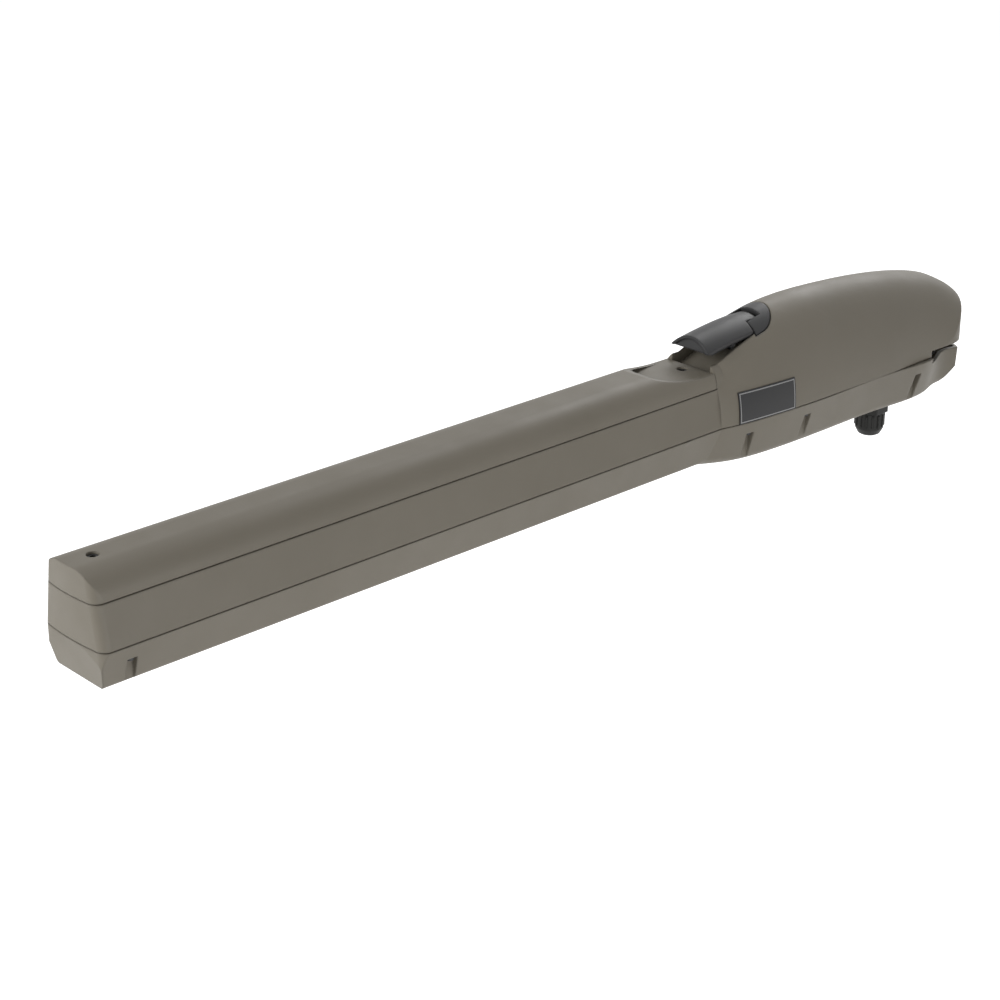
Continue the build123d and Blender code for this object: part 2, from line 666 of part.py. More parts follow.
GEAR_DOGS = dogs(DOG_REAR - NEAR, DOG_REAR + DOG_LENGTH, 0.0)
SLEEVE_DOGS = dogs(DOG_REAR + DOG_CLEAR + FORK_REST, SLEEVE_REAR + NEAR, 180.0 / DOG_COUNT)

with BuildPart() as screw_gear:
    with BuildSketch(Plane(origin=(GEAR_REAR, 0, SCREW_Z), x_dir=(0, 0, 1), z_dir=(1, 0, 0))):
        add(gear_sketch(GEAR_TEETH, SPIGOT_R + FIT))
    extrude(amount=GEAR_WIDTH)
    add(bar(HUB_R, PLATE_REAR + SEAT, GEAR_REAR + NEAR))
    add(bar(SPIGOT_R + FIT, PLATE_REAR - 2.0, GEAR_REAR + GEAR_WIDTH + 6.0), mode=Mode.SUBTRACT)
    add(GEAR_DOGS)
save(screw_gear, "screw_gear")

with BuildPart() as motor_pinion:
    with BuildSketch(Plane(origin=(GEAR_REAR, 0, MOTOR_Z), x_dir=(0, 0, -1), z_dir=(1, 0, 0))):
        add(gear_sketch(PINION_TEETH, MOTOR_SHAFT_R), rotation=180.0 / PINION_TEETH)
    extrude(amount=GEAR_WIDTH)
save(motor_pinion, "motor_pinion")

with BuildPart() as clutch_sleeve:
    add(bar(SLEEVE_R, SLEEVE_REAR, SLEEVE_FRONT))
    with BuildSketch(Plane(origin=(SLEEVE_REAR - 5, 0, SCREW_Z), x_dir=(0, 0, 1), z_dir=(1, 0, 0))):
        RegularPolygon(HEX_FLAT / 2 + 2 * FIT, 6, major_radius=False)
    extrude(amount=60.0, mode=Mode.SUBTRACT)
    groove = bar(SLEEVE_R + 1, FORK_X - GROOVE_FIT, FORK_X + FORK_THICK + GROOVE_FIT)
    add(groove - bar(SLEEVE_GROOVE_R, FORK_X - 1, FORK_X + 7), mode=Mode.SUBTRACT)
    add(SLEEVE_DOGS)
save(clutch_sleeve, "clutch_sleeve")

# Lead screw and its bearings
HEX_REAR = DOG_REAR + 0.6
HEX_FRONT = RAIL_REAR - 4.0
with BuildPart() as lead_screw:
    add(bar(SPIGOT_R, PLATE_REAR + 1.0, HEX_REAR + NEAR))
    with BuildSketch(Plane(origin=(HEX_REAR, 0, SCREW_Z), x_dir=(0, 0, 1), z_dir=(1, 0, 0))):
        RegularPolygon(HEX_FLAT / 2, 6, major_radius=False)
    extrude(amount=HEX_FRONT - HEX_REAR)
    add(bar(SCREW_R, HEX_FRONT - NEAR, RAIL_FRONT - END_WALL - 4.0))
    add(bar(FRONT_SPIGOT_R, RAIL_FRONT - END_WALL - 5.0, RAIL_FRONT - 3.5))
save(lead_screw, "lead_screw")

WALL_FRONT = RAIL_REAR + END_WALL + 2.0
with BuildPart() as thrust_bearing:
    add(bar(THRUST_BEARING_R, RAIL_REAR + 2.0, WALL_FRONT))
    add(bar(SCREW_R + FIT, RAIL_REAR, WALL_FRONT + 1), mode=Mode.SUBTRACT)
save(thrust_bearing, "thrust_bearing")

with BuildPart() as screw_collar:
    add(bar(12.0, WALL_FRONT + 0.5, WALL_FRONT + 6.5))
    add(bar(SCREW_R, WALL_FRONT, WALL_FRONT + 7), mode=Mode.SUBTRACT)
save(screw_collar, "screw_collar")

FRONT_WALL_REAR = RAIL_FRONT - END_WALL
with BuildPart() as front_bearing:
    add(bar(FRONT_BEARING_R, FRONT_WALL_REAR, FRONT_WALL_REAR + FRONT_BEARING_WIDTH))
    add(bar(FRONT_SPIGOT_R + FIT, FRONT_WALL_REAR - 1, RAIL_FRONT), mode=Mode.SUBTRACT)
save(front_bearing, "front_bearing")

with BuildPart() as gear_bearing:
    add(bar(BEARING_R, PLATE_REAR, PLATE_REAR + PLATE_THICK))
    add(bar(HUB_R + FIT, PLATE_REAR - 1, PLATE_REAR + PLATE_THICK + 1), mode=Mode.SUBTRACT)
save(gear_bearing, "gear_bearing")

# Chassis: rail in the arm, bearing walls, and a tray under the motor
TRAY_FLOOR = HEAD_FLOOR + WALL + SEAT
TRAY_THICK = 3.4
TRAY_HALF = 28.0
TRAY_FRONT = 222.0
TRAY_SIDE = 3.0
STEP_FLOOR = -32.6           # narrower, higher front of the tray
STEP_HALF = 24.0
TRAY_SIDE_TOP = -12.0
YOKE_REAR_WEB = 40.0
YOKE_WEB = 22.0
with BuildPart() as chassis:
    add(slab(RAIL_REAR, RAIL_FRONT, RAIL_HALF, RAIL_FLOOR, RAIL_TOP))
    add(slab(WALL_FRONT, FRONT_WALL_REAR, RAIL_HALF - RAIL_WALL, RAIL_FLOOR + RAIL_WALL, 50), mode=Mode.SUBTRACT)
    add(slab(YOKE_REAR_WEB, TRAY_FRONT, TRAY_HALF, TRAY_FLOOR, TRAY_SIDE_TOP))
    add(slab(TRAY_FRONT - TRAY_SIDE, WALL_FRONT, STEP_HALF, STEP_FLOOR, TRAY_SIDE_TOP))
    inner = TRAY_HALF - TRAY_SIDE
    add(slab(0, TRAY_FRONT - TRAY_SIDE, inner, TRAY_FLOOR + TRAY_THICK, 0), mode=Mode.SUBTRACT)
    inner = STEP_HALF - TRAY_SIDE
    add(slab(PLATE_REAR, RAIL_REAR, inner, STEP_FLOOR + TRAY_THICK, 0), mode=Mode.SUBTRACT)
    add(slab(RAIL_REAR, WALL_FRONT, STEP_HALF, STEP_FLOOR, GUIDE_Z + 7.0))
    add(bar(THRUST_BEARING_R, RAIL_REAR + 2.0, WALL_FRONT + 1), mode=Mode.SUBTRACT)
    add(bar(11.0, RAIL_REAR - 1, WALL_FRONT), mode=Mode.SUBTRACT)
    add(bar(FRONT_BEARING_R, FRONT_WALL_REAR - 1, FRONT_WALL_REAR + FRONT_BEARING_WIDTH), mode=Mode.SUBTRACT)
    add(bar(FRONT_SPIGOT_R + 1, FRONT_WALL_REAR, RAIL_FRONT - 2.0), mode=Mode.SUBTRACT)
    add(slab(SLOT_REAR_END, SLOT_FRONT_END, NECK_HALF + NECK_CLEAR, -60, -20), mode=Mode.SUBTRACT)
    add(post(GLAND_THREAD_R + 7.0, -60, -20, GLAND_X, GLAND_Y), mode=Mode.SUBTRACT)
save(chassis, "chassis")

# Gear plate that the motor is bolted to
with BuildPart() as gear_plate:
    add(slab(PLATE_REAR, PLATE_REAR + PLATE_THICK, TRAY_HALF - 3.2, TRAY_FLOOR + TRAY_THICK, MOTOR_Z))
    add(bar(MOTOR_R + 1.0, PLATE_REAR, PLATE_REAR + PLATE_THICK, MOTOR_Z))
    add(bar(BEARING_R, PLATE_REAR - 1, PLATE_REAR + PLATE_THICK + 1), mode=Mode.SUBTRACT)
    add(bar(MOTOR_SHAFT_R + 2.0, PLATE_REAR - 1, PLATE_REAR + PLATE_THICK + 1, MOTOR_Z), mode=Mode.SUBTRACT)
save(gear_plate, "gear_plate")

# Motor
MOTOR_SKIN = 2.0
MOTOR_BEARING_R = 8.0
MOTOR_BEARING = 5.0
CORE_R = 21.0
MAGNET_R = 22.0
with BuildPart() as motor_can:
    add(bar(MOTOR_R, MOTOR_REAR, PLATE_REAR, MOTOR_Z))
    add(bar(MOTOR_R - MOTOR_SKIN, MOTOR_REAR - 1, PLATE_REAR - MOTOR_BEARING, MOTOR_Z), mode=Mode.SUBTRACT)
    add(bar(MOTOR_BEARING_R, MOTOR_REAR, PLATE_REAR + 1, MOTOR_Z), mode=Mode.SUBTRACT)
save(motor_can, "motor_can")

with BuildPart() as motor_cap:
    add(bar(MOTOR_R - MOTOR_SKIN, MOTOR_REAR, MOTOR_REAR + 8.0, MOTOR_Z))
    add(bar(MOTOR_BEARING_R, MOTOR_REAR + 8.0 - MOTOR_BEARING, MOTOR_REAR + 9.0, MOTOR_Z), mode=Mode.SUBTRACT)
save(motor_cap, "motor_cap")

with BuildPart() as motor_magnets:
    add(bar(MOTOR_R - MOTOR_SKIN, 95.0, 165.0, MOTOR_Z))
    add(bar(MAGNET_R, 90.0, 170.0, MOTOR_Z), mode=Mode.SUBTRACT)
    add(slab(90.0, 170.0, 6.0, MOTOR_Z - 40, MOTOR_Z + 40), mode=Mode.SUBTRACT)
save(motor_magnets, "motor_magnets")

with BuildPart() as motor_bearings:
    for x in (MOTOR_REAR + 8.0 - MOTOR_BEARING, PLATE_REAR - MOTOR_BEARING):
        ring = bar(MOTOR_BEARING_R, x, x + MOTOR_BEARING, MOTOR_Z)
        add(ring - bar(MOTOR_SHAFT_R + FIT, x - 1, x + MOTOR_BEARING + 1, MOTOR_Z))
save(motor_bearings, "motor_bearings")

with BuildPart() as motor_rotor:
    add(bar(MOTOR_SHAFT_R, MOTOR_REAR + 4.0, GEAR_REAR + GEAR_WIDTH + 1.0, MOTOR_Z))
    add(bar(CORE_R, 95.0, 165.0, MOTOR_Z))
    add(bar(9.0, 84.0, 92.0, MOTOR_Z))
    for turn in range(8):
        slot = Pos(130.0, 0, MOTOR_Z) * Rot(turn * 45.0, 0, 0) * Pos(0, 0, CORE_R - 3.0)
        add(slot * Box(80.0, 3.0, 10.0, mode=Mode.PRIVATE), mode=Mode.SUBTRACT)
save(motor_rotor, "motor_rotor")

# Rear yoke, whose two ears hold the pivot pin above and below the post bracket
EAR_THICK = 8.0
EAR_HALF = 18.0
BUSH_R = 9.0
LOW_EAR = (SLOT_LOW - SEAT - EAR_THICK, SLOT_LOW - SEAT)
HIGH_EAR = (SLOT_HIGH + SEAT, SLOT_HIGH + SEAT + EAR_THICK)
with BuildPart() as rear_yoke:
    for low, high in (LOW_EAR, HIGH_EAR):
        add(slab(0, YOKE_REAR_WEB + YOKE_WEB, EAR_HALF, low, high))
        add(post(EAR_HALF, low, high, 0))
    add(slab(YOKE_REAR_WEB, YOKE_REAR_WEB + YOKE_WEB, TRAY_HALF - 3.2, TRAY_FLOOR + TRAY_THICK, HIGH_EAR[1]))
    add(post(BUSH_R, -60, 60, 0), mode=Mode.SUBTRACT)
    add(post(GLAND_THREAD_R + 7.0, -60, 0, GLAND_X, GLAND_Y), mode=Mode.SUBTRACT)
save(rear_yoke, "rear_yoke")

with BuildPart() as yoke_bushes:
    for low, high in (LOW_EAR, HIGH_EAR):
        add(post(BUSH_R, low, high, 0) - post(PIVOT_BORE_R, low - 1, high + 1, 0))
save(yoke_bushes, "yoke_bushes")

# Carriage and drive nut
HALF_CARRIAGE = CARRIAGE_LENGTH / 2
CARRIAGE_HALF = RAIL_HALF - RAIL_WALL - SLIDE_FIT
CARRIAGE_FRONT = CARRIAGE_X + HALF_CARRIAGE
with BuildPart() as carriage:
    low = RAIL_FLOOR + RAIL_WALL + SLIDE_FIT
    add(slab(CARRIAGE_X - HALF_CARRIAGE, CARRIAGE_FRONT, CARRIAGE_HALF, low, CARRIAGE_TOP))
    add(slab(CARRIAGE_X - NECK_LENGTH / 2, CARRIAGE_X + NECK_LENGTH / 2, NECK_HALF, NECK_BOTTOM, low + NEAR))
    add(bar(NUT_R, CARRIAGE_X - 40, CARRIAGE_X + 40), mode=Mode.SUBTRACT)
    add(post(BRACKET_THREAD_R, NECK_BOTTOM - 1, NECK_BOTTOM + BRACKET_THREAD_DEPTH, CARRIAGE_X), mode=Mode.SUBTRACT)
save(carriage, "carriage")

with BuildPart() as drive_nut:
    add(bar(NUT_R, CARRIAGE_FRONT - NUT_LENGTH, CARRIAGE_FRONT))
    add(bar(NUT_FLANGE_R, CARRIAGE_FRONT, CARRIAGE_FRONT + NUT_FLANGE))
    add(bar(SCREW_R + FIT, CARRIAGE_X - 60, CARRIAGE_X + 60), mode=Mode.SUBTRACT)
save(drive_nut, "drive_nut")

STOP_CLEAR = 1.5
STOP_STARTS = (
    CARRIAGE_FRONT + NUT_FLANGE + STOP_CLEAR,
    CARRIAGE_X - STROKE - HALF_CARRIAGE - STOP_CLEAR - STOP_LENGTH,
)
with BuildPart() as end_stops:
    for x in STOP_STARTS:
        low = RAIL_FLOOR + RAIL_WALL
        add(slab(x, x + STOP_LENGTH, RAIL_HALF - RAIL_WALL, low, CARRIAGE_TOP)
            - bar(SCREW_R + 1.5, x - 1, x + STOP_LENGTH + 1))
save(end_stops, "end_stops")

SWITCH_Y = 24.2
SWITCH_HALF = 4.2
with BuildPart() as limit_switches:
    for x in STOP_STARTS:
        add(slab(x - 3.0, x + 17.0, SWITCH_HALF, RAIL_TOP, RAIL_TOP + 10.0, SWITCH_Y))
save(limit_switches, "limit_switches")

with BuildPart() as terminal_block:
    add(slab(16.0, 58.0, 14.0, HIGH_EAR[1], HIGH_EAR[1] + 14.0))
    for x in range(22, 58, 8):
        add(post(2.2, HIGH_EAR[1] + 10.0, HIGH_EAR[1] + 20.0, x), mode=Mode.SUBTRACT)
save(terminal_block, "terminal_block")

# Cable gland
GLAND_SEAT = -39.0 - SEAT
with BuildPart() as cable_gland:
    with BuildSketch(Plane.XY.offset(GLAND_SEAT)):
        with Locations((GLAND_X, GLAND_Y)):
            RegularPolygon(GLAND_FLAT / 2, 6, major_radius=False)
    extrude(amount=-GLAND_HEX)
    add(post(GLAND_THREAD_R, GLAND_SEAT, GLAND_SEAT + 13.0, GLAND_X, GLAND_Y))
    add(post(CABLE_R + 1.5, -70, 0, GLAND_X, GLAND_Y), mode=Mode.SUBTRACT)
save(cable_gland, "cable_gland")

NUT_TOP = GLAND_SEAT - GLAND_HEX - 0.4
with BuildPart() as gland_nut:
    with BuildSketch(Plane.XZ.offset(-GLAND_Y)):
        with BuildLine():
            Polyline(
                (GLAND_X + 8.0, NUT_TOP),
                (GLAND_X + GLAND_NUT_R, NUT_TOP),
                (GLAND_X + GLAND_NUT_R, NUT_TOP - GLAND_NUT + 6.0),
                (GLAND_X + GLAND_NUT_R - 2.5, NUT_TOP - GLAND_NUT + 1.2),
                (GLAND_X + 8.0, NUT_TOP - GLAND_NUT),
                close=True,
            )
        make_face()
    revolve(axis=Axis((GLAND_X, GLAND_Y, 0), (0, 0, 1)))
save(gland_nut, "gland_nut")

with BuildPart() as gland_seal:
    add(post(8.0, NUT_TOP - GLAND_NUT + 1.0, NUT_TOP - 1.0, GLAND_X, GLAND_Y))
    add(post(CABLE_R, -90, 0, GLAND_X, GLAND_Y), mode=Mode.SUBTRACT)
save(gland_seal, "gland_seal")

with BuildPart() as gland_locknut:
    with BuildSketch(Plane.XY.offset(-39.0 + WALL + 0.1)):
        with Locations((GLAND_X, GLAND_Y)):
            RegularPolygon(14.0, 6, major_radius=False)
            Circle(GLAND_THREAD_R, mode=Mode.SUBTRACT)
    extrude(amount=5.0)
save(gland_locknut, "gland_locknut")

with BuildPart() as casing_screws:
    for x, y in CASING_SCREWS:
        add(post(CASING_HEAD_R, CHANNEL_TOP - CASING_HEAD, CHANNEL_TOP, x, y))
        add(post(CASING_SCREW_R, CHANNEL_TOP - NEAR, LUG_TOP - 4.0, x, y))
save(casing_screws, "casing_screws")

# Nameplate, a bare framed plate that follows the head's flank
with BuildPart() as nameplate:
    add(slab(PLATE_X - PLATE_LENGTH / 2, PLATE_X + PLATE_LENGTH / 2, 15.0,
             PLATE_Z - PLATE_HEIGHT / 2, PLATE_Z + PLATE_HEIGHT / 2, 45.0))
    add(head_dome(-PLATE_SKIN), mode=Mode.INTERSECT)
    add(head_dome(-SEAT), mode=Mode.SUBTRACT)
save(nameplate, "nameplate")
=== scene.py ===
"""Looks and studio for the swing gate opener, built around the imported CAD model.

Everything is in metres in the model's own frame: origin on the rear pivot axis,
+X to the gate end, +Y to the side with the nameplate, +Z up.
"""
import json
from math import pi

import bmesh
import bpy
from mathutils import Matrix, Vector


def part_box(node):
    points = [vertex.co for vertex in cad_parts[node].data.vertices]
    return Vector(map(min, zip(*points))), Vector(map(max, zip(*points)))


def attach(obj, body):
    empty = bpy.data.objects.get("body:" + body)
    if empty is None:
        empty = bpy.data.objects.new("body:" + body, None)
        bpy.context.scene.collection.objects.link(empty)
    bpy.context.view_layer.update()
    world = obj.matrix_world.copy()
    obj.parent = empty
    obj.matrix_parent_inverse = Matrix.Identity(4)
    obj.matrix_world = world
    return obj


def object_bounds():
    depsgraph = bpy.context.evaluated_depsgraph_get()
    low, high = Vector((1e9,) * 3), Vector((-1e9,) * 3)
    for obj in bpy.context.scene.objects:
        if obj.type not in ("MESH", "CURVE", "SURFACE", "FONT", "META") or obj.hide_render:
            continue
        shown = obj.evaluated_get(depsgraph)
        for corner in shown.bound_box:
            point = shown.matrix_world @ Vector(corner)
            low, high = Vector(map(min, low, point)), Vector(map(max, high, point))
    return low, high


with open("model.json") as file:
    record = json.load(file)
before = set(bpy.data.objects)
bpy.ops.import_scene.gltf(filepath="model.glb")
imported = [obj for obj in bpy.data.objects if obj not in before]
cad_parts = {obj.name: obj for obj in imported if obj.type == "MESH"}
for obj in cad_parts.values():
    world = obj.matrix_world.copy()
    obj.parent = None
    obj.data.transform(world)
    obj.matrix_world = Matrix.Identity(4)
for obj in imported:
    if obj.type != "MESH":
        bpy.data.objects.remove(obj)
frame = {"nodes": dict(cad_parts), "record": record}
CAD_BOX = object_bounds()

# Camera, at the photograph's own viewing angle
CAMERA_PLACE = Vector((1.5855, 1.1665, 0.6665))
CAMERA_RIGHT = Vector((-0.73456, 0.67854, 0.0))
CAMERA_UP = Vector((-0.26664, -0.28866, 0.91955))
CAMERA_BACK = Vector((0.62395, 0.67547, 0.39296))
CAMERA_LENS = 81.8             # focal length in millimetres
CAMERA_SENSOR = 36.0           # sensor width in millimetres
CLIP_NEAR = 0.01
CLIP_FAR = 30.0

# Studio
WHITE = (1.0, 1.0, 1.0, 1.0)
FLOOR_DROP = 0.3               # floor below the opener, which hangs between its post and the gate
FLOOR_SIZE = 12.0
FLOOR_TONE = (0.86, 0.86, 0.86, 1.0)
FLOOR_ROUGHNESS = 0.9
FLOOR_GLOW = 0.72              # light that the floor gives to the camera, so that it shows as white
WORLD_STRENGTH = 0.34          # even light that falls on the opener from all sides
WORLD_SEEN = 1.0               # the same world where it is seen directly, which is white
MIDDLE = Vector((0.43, 0.0, 0.01))
# Each lamp's name, place, side length and watts
LAMPS = (
    ("key", (2.4, -0.5, 0.9), 1.0, 26.0),
    ("rear", (-1.2, -0.6, 1.2), 1.0, 14.0),
    ("low", (0.7, 1.1, -0.3), 0.9, 7.6),
)

# Surfaces
EDGE_SOFTNESS = 0.0022         # radius that edges of the mouldings catch the light with
EDGE_SAMPLES = 4
FINE_GRAIN = 2600.0            # grains to a metre, about, in the skin of the mouldings
OPEN_GRAIN = 1800.0
RUBBER_GRAIN = 900.0
MOULD_RELIEF = 0.00004         # depths of relief
TOOL_RELIEF = 0.00002
CAST_RELIEF = 0.00008
PLATE_RELIEF = 0.00001
RIM_RELIEF = 0.0001
PLATE_LINE = (0.0009, 0.0018)  # rim line of the nameplate, from and to, inwards from its edge
CLOUD_SPAN = (0.35, 0.65)      # spans of noise that are mapped to a range
MARKS_SPAN = (0.3, 0.7)
# How far marks are drawn out along each axis: the smaller the number, the longer they run
DRAWN_ALONG_X = (0.05, 1.0, 1.0)
BRUSHED_ALONG_X = (0.1, 1.0, 1.0)
DRAWN_ALONG_Z = (1.0, 1.0, 0.1)
RINGS_ROUND_X = (1.0, 0.1, 0.1)

# Grip ribs of the gland's nut
GLAND_RIBS = 14
RIB_SIZE = (0.0016, 0.0024, 0.0118)
RIB_PROUD = 0.0001             # middle of a rib outside the nut's own radius
RIB_DROP = 0.0072              # middle of a rib below the top of the nut
RIB_ROUNDING = 0.0004
RIB_SEGMENTS = 2


def seen_directly(nodes, links):
    """1 for what is seen straight on, in a mirror or through glass, 0 for light that falls on things."""
    rays = nodes.new("ShaderNodeLightPath").outputs
    total = rays["Is Camera Ray"]
    for name in ("Is Glossy Ray", "Is Transmission Ray"):
        added = nodes.new("ShaderNodeMath")
        added.operation = "ADD"
        added.use_clamp = True
        links.new(total, added.inputs[0])
        links.new(rays[name], added.inputs[1])
        total = added.outputs["Value"]
    return total


def shown_or_lit(tree, lit, seen):
    """One strength for light that falls on things and another for what is seen directly."""
    choice = tree.nodes.new("ShaderNodeMapRange")
    choice.inputs["To Min"].default_value = lit
    choice.inputs["To Max"].default_value = seen
    tree.links.new(seen_directly(tree.nodes, tree.links), choice.inputs["Value"])
    return choice.outputs["Result"]


class Surface:
    """A procedural material under construction, in the model's own coordinates."""

    def __init__(self, name, roughness, metallic=0.0, specular=0.5):
        self.material = bpy.data.materials.new(name)
        self.material.use_nodes = True
        self.nodes = self.material.node_tree.nodes
        self.links = self.material.node_tree.links
        self.shader = self.nodes["Principled BSDF"]
        self.shader.inputs["Metallic"].default_value = metallic
        self.shader.inputs["Specular IOR Level"].default_value = specular
        self.roughness = roughness
        self.place = self.nodes.new("ShaderNodeTexCoord").outputs["Object"]
        self.normal = None

    def stretched(self, stretch):
        """The model's coordinates, scaled separately along each axis."""
        mapping = self.nodes.new("ShaderNodeMapping")
        mapping.inputs["Scale"].default_value = stretch
        self.links.new(self.place, mapping.inputs["Vector"])
        return mapping.outputs["Vector"]

    def noise(self, scale, detail=4.0, rough=0.55, stretch=(1.0, 1.0, 1.0)):
        """Noise with features about 1 / scale metres across."""
        node = self.nodes.new("ShaderNodeTexNoise")
        node.inputs["Scale"].default_value = scale
        node.inputs["Detail"].default_value = detail
        node.inputs["Roughness"].default_value = rough
        self.links.new(self.stretched(stretch), node.inputs["Vector"])
        return node.outputs["Fac"]

    def ramp(self, value, low, high, first, last):
        """Map a value between low and high to a range of numbers."""
        node = self.nodes.new("ShaderNodeMapRange")
        node.inputs["From Min"].default_value = low
        node.inputs["From Max"].default_value = high
        node.inputs["To Min"].default_value = first
        node.inputs["To Max"].default_value = last
        self.links.new(value, node.inputs["Value"])
        return node.outputs["Result"]

    def colour(self, dark, light, value):
        """Base colour that runs from dark to light with a value."""
        mix = self.nodes.new("ShaderNodeMix")
        mix.data_type = "RGBA"
        mix.inputs["A"].default_value = (*dark, 1.0)
        mix.inputs["B"].default_value = (*light, 1.0)
        self.links.new(value, mix.inputs["Factor"])
        self.links.new(mix.outputs["Result"], self.shader.inputs["Base Color"])

    def rough(self, value, spread):
        """Roughness that varies about its mean with a value from 0 to 1."""
        wanted = self.ramp(value, *MARKS_SPAN, self.roughness - spread, self.roughness + spread)
        self.links.new(wanted, self.shader.inputs["Roughness"])

    def bump(self, height, depth):
        """Relief of the given depth in metres."""
        node = self.nodes.new("ShaderNodeBump")
        node.inputs["Distance"].default_value = depth
        node.inputs["Strength"].default_value = 1.0
        self.links.new(height, node.inputs["Height"])
        if self.normal:
            self.links.new(self.normal, node.inputs["Normal"])
        self.normal = node.outputs["Normal"]

    def soften(self, radius):
        """Let sharp edges catch the light as if they were rounded."""
        node = self.nodes.new("ShaderNodeBevel")
        node.samples = EDGE_SAMPLES
        node.inputs["Radius"].default_value = radius
        self.normal = node.outputs["Normal"]

    def reckon(self, operation, first, second=0.0):
        """Result of one sum on two values, each a socket or a number."""
        node = self.nodes.new("ShaderNodeMath")
        node.operation = operation
        for index, value in enumerate((first, second)):
            if isinstance(value, float):
                node.inputs[index].default_value = value
            else:
                self.links.new(value, node.inputs[index])
        return node.outputs["Value"]

    def rim_line(self, low, high, line):
        """1 on a thin line just inside the edge of a plate that faces along Y, 0 elsewhere."""
        parts = self.nodes.new("ShaderNodeSeparateXYZ")
        self.links.new(self.place, parts.inputs["Vector"])
        inward = []
        for axis, letter in ((0, "X"), (2, "Z")):
            middle = (low[axis] + high[axis]) / 2
            away = self.reckon("ABSOLUTE", self.reckon("SUBTRACT", parts.outputs[letter], middle))
            inward.append(self.reckon("SUBTRACT", (high[axis] - low[axis]) / 2, away))
        nearest = self.reckon("MINIMUM", inward[0], inward[1])
        beyond = self.reckon("GREATER_THAN", nearest, line[0])
        within = self.reckon("LESS_THAN", nearest, line[1])
        return self.reckon("MULTIPLY", beyond, within)

    def finish(self):
        """Join the relief to the shader and hand over the material."""
        if self.normal:
            self.links.new(self.normal, self.shader.inputs["Normal"])
        return self.material


def moulded(name, dark, light, roughness, grain, specular):
    """Injection-moulded plastic: fine spark-eroded grain over slow, faint unevenness."""
    surface = Surface(name, roughness, specular=specular)
    surface.soften(EDGE_SOFTNESS)
    cloud = surface.noise(scale=9.0, detail=3.0)
    surface.colour(dark, light, surface.ramp(cloud, *CLOUD_SPAN, 0.0, 1.0))
    surface.rough(surface.noise(scale=35.0), spread=0.05)
    surface.bump(surface.noise(scale=grain, detail=2.0, rough=0.6), MOULD_RELIEF)
    return surface.finish()


def turned(name, dark, light, roughness, stretch, metallic=1.0):
    """Turned, ground or drawn metal, with its tool marks along one axis."""
    surface = Surface(name, roughness, metallic)
    marks = surface.noise(scale=420.0, detail=3.0, rough=0.7, stretch=stretch)
    surface.colour(dark, light, surface.ramp(marks, *MARKS_SPAN, 0.0, 1.0))
    surface.rough(marks, spread=0.08)
    surface.bump(marks, TOOL_RELIEF)
    return surface.finish()


def cast(name, dark, light, roughness):
    """Die-cast metal with a pebbled skin."""
    surface = Surface(name, roughness, metallic=0.85)
    skin = surface.noise(scale=650.0, detail=5.0, rough=0.65)
    cloud = surface.noise(scale=30.0)
    surface.colour(dark, light, surface.ramp(cloud, *MARKS_SPAN, 0.0, 1.0))
    surface.rough(skin, spread=0.1)
    surface.bump(skin, CAST_RELIEF)
    return surface.finish()


def framed_plate(name, field, line, roughness):
    """Bare anodised plate with a lighter line round its edge."""
    surface = Surface(name, roughness, metallic=0.2)
    low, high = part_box("nameplate")
    rim = surface.rim_line(low, high, PLATE_LINE)
    surface.colour(field, line, rim)
    grain = surface.noise(scale=1500.0, detail=3.0, rough=0.6, stretch=BRUSHED_ALONG_X)
    surface.rough(grain, spread=0.06)
    surface.bump(grain, PLATE_RELIEF)
    surface.bump(rim, RIM_RELIEF)
    return surface.finish()


def build_materials():
    """One material for each of the record's slots, by the slot's name."""
    recipes = {
        "casing_grey": (moulded, (0.166, 0.149, 0.117), (0.18, 0.162, 0.129), 0.5, FINE_GRAIN, 0.4),
        "lever_grey": (moulded, (0.024, 0.024, 0.025), (0.032, 0.032, 0.033), 0.44, OPEN_GRAIN, 0.3),
        "black_plastic": (moulded, (0.010, 0.010, 0.009), (0.016, 0.016, 0.014), 0.42, FINE_GRAIN, 0.25),
        "plate_dark": (framed_plate, (0.020, 0.020, 0.021), (0.27, 0.27, 0.27), 0.34),
        "rubber": (moulded, (0.012, 0.012, 0.012), (0.02, 0.02, 0.02), 0.75, RUBBER_GRAIN, 0.5),
        "zinc_steel": (turned, (0.34, 0.34, 0.33), (0.5, 0.5, 0.48), 0.32, DRAWN_ALONG_Z),
        "machined_steel": (turned, (0.36, 0.36, 0.36), (0.55, 0.55, 0.55), 0.28, RINGS_ROUND_X),
        "bearing_steel": (turned, (0.45, 0.45, 0.46), (0.6, 0.6, 0.61), 0.2, DRAWN_ALONG_X),
        "motor_steel": (turned, (0.03, 0.03, 0.033), (0.045, 0.045, 0.05), 0.4, DRAWN_ALONG_X, 0.3),
        "cast_alloy": (cast, (0.42, 0.43, 0.44), (0.55, 0.56, 0.57), 0.48),
        "brass": (turned, (0.52, 0.37, 0.14), (0.66, 0.5, 0.22), 0.3, RINGS_ROUND_X),
        "magnet": (cast, (0.05, 0.05, 0.055), (0.09, 0.09, 0.095), 0.6),
        "copper_core": (turned, (0.3, 0.12, 0.06), (0.5, 0.22, 0.11), 0.4, BRUSHED_ALONG_X),
    }
    return {name: make(name, *settings) for name, (make, *settings) in recipes.items()}


def dress_nodes(materials):
    """Give each node the material of its slot, and the outer screws a blackened one."""
    dark, light = (0.03, 0.03, 0.03), (0.05, 0.05, 0.05)
    blackened = turned("blackened_screws", dark, light, 0.45, DRAWN_ALONG_Z, 0.6)
    for part in frame["record"]["subparts"]:
        node = frame["nodes"][part["node"]]
        outer_screws = part["node"] in ("lid_screws", "casing_screws")
        node.data.materials.clear()
        node.data.materials.append(blackened if outer_screws else materials[part["material_slot"]])


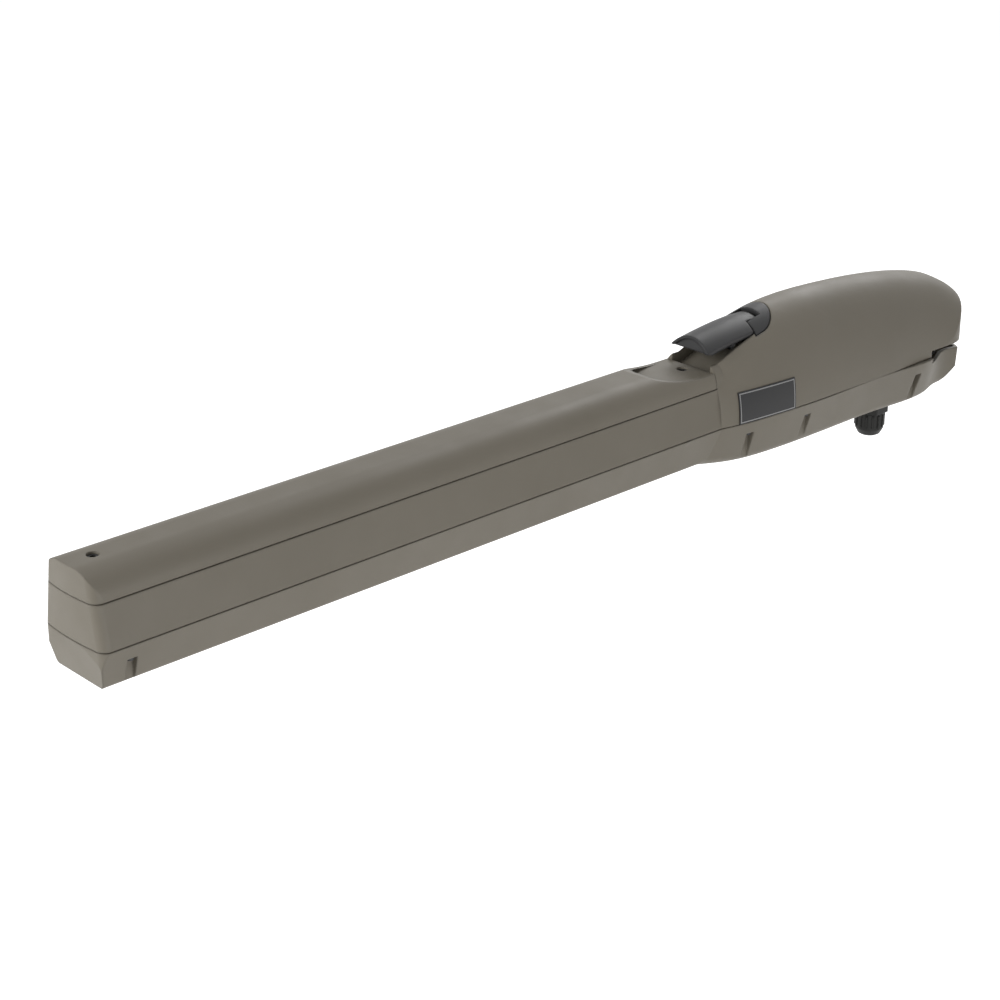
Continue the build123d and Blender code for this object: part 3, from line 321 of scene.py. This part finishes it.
def add_gland_ribs(material):
    """Grip ribs round the gland's nut, each a slim bar with rounded edges and ends."""
    low, high = (Vector(corner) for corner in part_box("gland_nut"))
    centre = (low + high) / 2
    radius = (high.x - low.x) / 2
    ribs = bmesh.new()
    for count in range(GLAND_RIBS):
        angle = 2 * pi * count / GLAND_RIBS
        made = bmesh.ops.create_cube(ribs, size=1.0)["verts"]
        bmesh.ops.scale(ribs, vec=RIB_SIZE, verts=made)
        bmesh.ops.translate(ribs, vec=(radius + RIB_PROUD, 0.0, high.z - RIB_DROP), verts=made)
        turn = Matrix.Rotation(angle, 3, "Z")
        bmesh.ops.rotate(ribs, cent=(0.0, 0.0, 0.0), matrix=turn, verts=made)
        bmesh.ops.translate(ribs, vec=(centre.x, centre.y, 0.0), verts=made)
    bmesh.ops.bevel(ribs, geom=ribs.edges[:], offset=RIB_ROUNDING, segments=RIB_SEGMENTS, affect="EDGES")
    mesh = bpy.data.meshes.new("gland_ribs")
    ribs.to_mesh(mesh)
    ribs.free()
    mesh.materials.append(material)
    piece = bpy.data.objects.new("gland_ribs", mesh)
    bpy.context.scene.collection.objects.link(piece)
    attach(piece, "housing")


def add_floor():
    """Pale floor that shows as white and keeps the opener's shadow."""
    half = FLOOR_SIZE / 2
    low = CAD_BOX[0][2] - FLOOR_DROP
    corners = [(-half, -half, low), (half, -half, low), (half, half, low), (-half, half, low)]
    mesh = bpy.data.meshes.new("floor")
    mesh.from_pydata(corners, [], [(0, 1, 2, 3)])
    floor = bpy.data.objects.new("floor", mesh)
    bpy.context.scene.collection.objects.link(floor)
    material = bpy.data.materials.new("floor")
    material.use_nodes = True
    tree = material.node_tree
    shader = tree.nodes["Principled BSDF"]
    shader.inputs["Base Color"].default_value = FLOOR_TONE
    shader.inputs["Roughness"].default_value = FLOOR_ROUGHNESS
    shader.inputs["Specular IOR Level"].default_value = 0.0
    shader.inputs["Emission Color"].default_value = WHITE
    tree.links.new(shown_or_lit(tree, 0.0, FLOOR_GLOW), shader.inputs["Emission Strength"])
    mesh.materials.append(material)


def add_world():
    """Even light from all sides, from a world that is white where it is seen directly."""
    world = bpy.data.worlds.new("studio")
    world.use_nodes = True
    bpy.context.scene.world = world
    tree = world.node_tree
    background = tree.nodes["Background"]
    background.inputs["Color"].default_value = WHITE
    strength = shown_or_lit(tree, WORLD_STRENGTH, WORLD_SEEN)
    tree.links.new(strength, background.inputs["Strength"])


def add_lamp(name, place, size, watts):
    """Square area lamp that faces the middle of the opener."""
    data = bpy.data.lights.new(name, "AREA")
    data.shape = "SQUARE"
    data.size = size
    data.energy = watts
    lamp = bpy.data.objects.new(name, data)
    lamp.location = place
    lamp.rotation_euler = (MIDDLE - Vector(place)).to_track_quat("-Z", "Y").to_euler()
    bpy.context.scene.collection.objects.link(lamp)


def add_camera():
    """Camera at the photograph's place, angle and focal length."""
    data = bpy.data.cameras.new("camera")
    data.lens = CAMERA_LENS
    data.sensor_width = CAMERA_SENSOR
    data.clip_start = CLIP_NEAR
    data.clip_end = CLIP_FAR
    camera = bpy.data.objects.new("camera", data)
    turn = Matrix((CAMERA_RIGHT, CAMERA_UP, CAMERA_BACK)).transposed().to_4x4()
    camera.matrix_world = Matrix.Translation(CAMERA_PLACE) @ turn
    bpy.context.scene.collection.objects.link(camera)
    bpy.context.scene.camera = camera


materials = build_materials()
dress_nodes(materials)
add_gland_ribs(materials["black_plastic"])
add_floor()
add_world()
for lamp_settings in LAMPS:
    add_lamp(*lamp_settings)
add_camera()
bpy.context.scene.view_settings.view_transform = "Standard"
